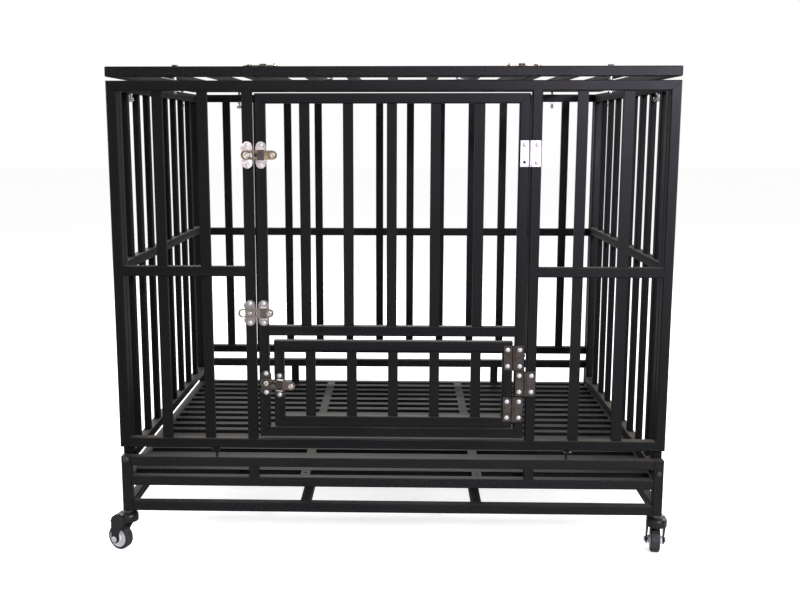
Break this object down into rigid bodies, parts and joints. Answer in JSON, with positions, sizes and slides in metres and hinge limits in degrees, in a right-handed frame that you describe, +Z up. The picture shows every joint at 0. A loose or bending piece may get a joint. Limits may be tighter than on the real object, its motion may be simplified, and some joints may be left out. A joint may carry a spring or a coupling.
{
  "type": "folding dog crate",
  "caption": "Folding metal dog crate of square tube and flat bars with a barred front door, a small feeding door, a lid door, sliding hasps and swivel casters.",
  "frame": {"origin": "on the floor under the middle of the base", "axes": "+X to the right along the long side, +Y to the back, +Z up; the door faces -Y"},
  "size_m": [1.1432, 0.7928, 0.9612],
  "materials": {
    "black_powder_coat": "satin",
    "zinc": "satin",
    "yellowed_zinc": "satin",
    "black_caster": "satin",
    "wheel_rubber": "matte"
  },
  "bodies": {
    "base": {"base_front_frame": "black_powder_coat", "base_back_frame": "black_powder_coat", "base_left_frame": "black_powder_coat", "base_right_frame": "black_powder_coat", "base_front_low_rail": "black_powder_coat", "base_back_low_rail": "black_powder_coat", "tray_rail_left": "black_powder_coat", "tray_rail_right": "black_powder_coat", "floor_grate": "black_powder_coat", "left_pivot_bolt_front": "zinc", "left_pivot_bolt_rear": "zinc", "right_pivot_bolt_front": "zinc", "right_pivot_bolt_rear": "zinc", "caster_front_left_stem": "zinc", "caster_front_right_stem": "zinc", "caster_rear_left_stem": "zinc", "caster_rear_right_stem": "zinc"},
    "front": {"front_panel": "black_powder_coat", "main_hinge_upper_fixed_leaf": "zinc", "main_hinge_lower_fixed_leaf": "yellowed_zinc", "upper_hasp_keeper": "zinc", "middle_hasp_keeper": "yellowed_zinc"},
    "back": {"back_panel": "black_powder_coat"},
    "left_side": {"left_panel": "black_powder_coat"},
    "right_side": {"right_panel": "black_powder_coat"},
    "lid_frame": {"lid": "black_powder_coat", "top_hinge_left_fixed_leaf": "zinc", "top_hinge_right_fixed_leaf": "zinc", "top_hasp_left_keeper": "zinc", "top_hasp_right_keeper": "zinc"},
    "door": {"main_door": "black_powder_coat", "main_hinge_upper_moving_leaf": "zinc", "main_hinge_lower_moving_leaf": "yellowed_zinc", "upper_hasp_plate": "zinc", "middle_hasp_plate": "yellowed_zinc", "small_hinge_upper_fixed_leaf": "yellowed_zinc", "small_hinge_lower_fixed_leaf": "yellowed_zinc", "small_hasp_keeper": "yellowed_zinc"},
    "feeding_door": {"small_door": "black_powder_coat", "small_hinge_upper_moving_leaf": "yellowed_zinc", "small_hinge_lower_moving_leaf": "yellowed_zinc", "small_hasp_plate": "yellowed_zinc"},
    "lid_door": {"top_door": "black_powder_coat", "top_hinge_left_moving_leaf": "zinc", "top_hinge_right_moving_leaf": "zinc", "top_hasp_left_plate": "zinc", "top_hasp_right_plate": "zinc"},
    "upper_hasp_slider": {"upper_hasp_arm": "zinc"},
    "middle_hasp_slider": {"middle_hasp_arm": "yellowed_zinc"},
    "small_hasp_slider": {"small_hasp_arm": "yellowed_zinc"},
    "top_hasp_left_slider": {"top_hasp_left_arm": "zinc"},
    "top_hasp_right_slider": {"top_hasp_right_arm": "zinc"},
    "front_left_swivel": {"caster_front_left_fork": "black_caster"},
    "front_left_roller": {"caster_front_left_wheel": "wheel_rubber"},
    "front_right_swivel": {"caster_front_right_fork": "black_caster"},
    "front_right_roller": {"caster_front_right_wheel": "wheel_rubber"},
    "rear_left_swivel": {"caster_rear_left_fork": "black_caster"},
    "rear_left_roller": {"caster_rear_left_wheel": "wheel_rubber"},
    "rear_right_swivel": {"caster_rear_right_fork": "black_caster"},
    "rear_right_roller": {"caster_rear_right_wheel": "wheel_rubber"}
  },
  "joints": [
    {"name": "front_fold", "type": "hinge", "parent": "base", "child": "front", "pos_m": [0, -0.3715, 0.2125], "axis": [1, 0, 0], "range_deg": [0, 90]},
    {"name": "back_fold", "type": "hinge", "parent": "base", "child": "back", "pos_m": [0, 0.3715, 0.2325], "axis": [-1, 0, 0], "range_deg": [0, 90]},
    {"name": "left_fold", "type": "hinge", "parent": "base", "child": "left_side", "pos_m": [-0.524, 0, 0.1925], "axis": [0, 1, 0], "range_deg": [0, 90]},
    {"name": "right_fold", "type": "hinge", "parent": "base", "child": "right_side", "pos_m": [0.524, 0, 0.1725], "axis": [0, -1, 0], "range_deg": [0, 90]},
    {"name": "lid_lift", "type": "slide", "parent": "base", "child": "lid_frame", "axis": [0, 0, 1], "range_m": [0, 0.25]},
    {"name": "door_hinge", "type": "hinge", "parent": "front", "child": "door", "pos_m": [0.2591, -0.3842, 0.5728], "axis": [0, 0, -1], "range_deg": [-100, 0]},
    {"name": "feeding_door_hinge", "type": "hinge", "parent": "door", "child": "feeding_door", "pos_m": [0.2362, -0.3842, 0.3522], "axis": [0, 0, -1], "range_deg": [-75, 0]},
    {"name": "lid_door_hinge", "type": "hinge", "parent": "lid_frame", "child": "lid_door", "pos_m": [0, 0.1325, 0.9562], "axis": [1, 0, 0], "range_deg": [-100, 0]},
    {"name": "upper_hasp_slide", "type": "slide", "parent": "door", "child": "upper_hasp_slider", "axis": [-1, 0, 0], "range_m": [0, 0.0113]},
    {"name": "middle_hasp_slide", "type": "slide", "parent": "door", "child": "middle_hasp_slider", "axis": [-1, 0, 0], "range_m": [-0.0113, 0]},
    {"name": "small_hasp_slide", "type": "slide", "parent": "feeding_door", "child": "small_hasp_slider", "axis": [-0.9921, 0, 0.1253], "range_m": [0, 0.0113]},
    {"name": "top_hasp_left_slide", "type": "slide", "parent": "lid_door", "child": "top_hasp_left_slider", "axis": [-1, 0, 0], "range_m": [0, 0.0113]},
    {"name": "top_hasp_right_slide", "type": "slide", "parent": "lid_door", "child": "top_hasp_right_slider", "axis": [1, 0, 0], "range_m": [0, 0.0113]},
    {"name": "front_left_swivel_turn", "type": "hinge", "parent": "base", "child": "front_left_swivel", "pos_m": [-0.526, -0.3715, 0.08], "axis": [0, 0, 1], "continuous": true},
    {"name": "front_left_wheel_spin", "type": "hinge", "parent": "front_left_swivel", "child": "front_left_roller", "pos_m": [-0.54594, -0.3622, 0.025], "axis": [-0.4226, -0.9063, 0], "continuous": true},
    {"name": "front_right_swivel_turn", "type": "hinge", "parent": "base", "child": "front_right_swivel", "pos_m": [0.526, -0.3715, 0.08], "axis": [0, 0, 1], "continuous": true},
    {"name": "front_right_wheel_spin", "type": "hinge", "parent": "front_right_swivel", "child": "front_right_roller", "pos_m": [0.52982, -0.34983, 0.025], "axis": [-0.9848, 0.1736, 0], "continuous": true},
    {"name": "rear_left_swivel_turn", "type": "hinge", "parent": "base", "child": "rear_left_swivel", "pos_m": [-0.526, 0.3715, 0.08], "axis": [0, 0, 1], "continuous": true},
    {"name": "rear_left_wheel_spin", "type": "hinge", "parent": "rear_left_swivel", "child": "rear_left_roller", "pos_m": [-0.52031, 0.35025, 0.025], "axis": [0.9659, 0.2588, 0], "continuous": true},
    {"name": "rear_right_swivel_turn", "type": "hinge", "parent": "base", "child": "rear_right_swivel", "pos_m": [0.526, 0.3715, 0.08], "axis": [0, 0, 1], "continuous": true},
    {"name": "rear_right_wheel_spin", "type": "hinge", "parent": "rear_right_swivel", "child": "rear_right_roller", "pos_m": [0.54594, 0.3808, 0.025], "axis": [-0.4226, 0.9063, 0], "continuous": true}
  ]
}
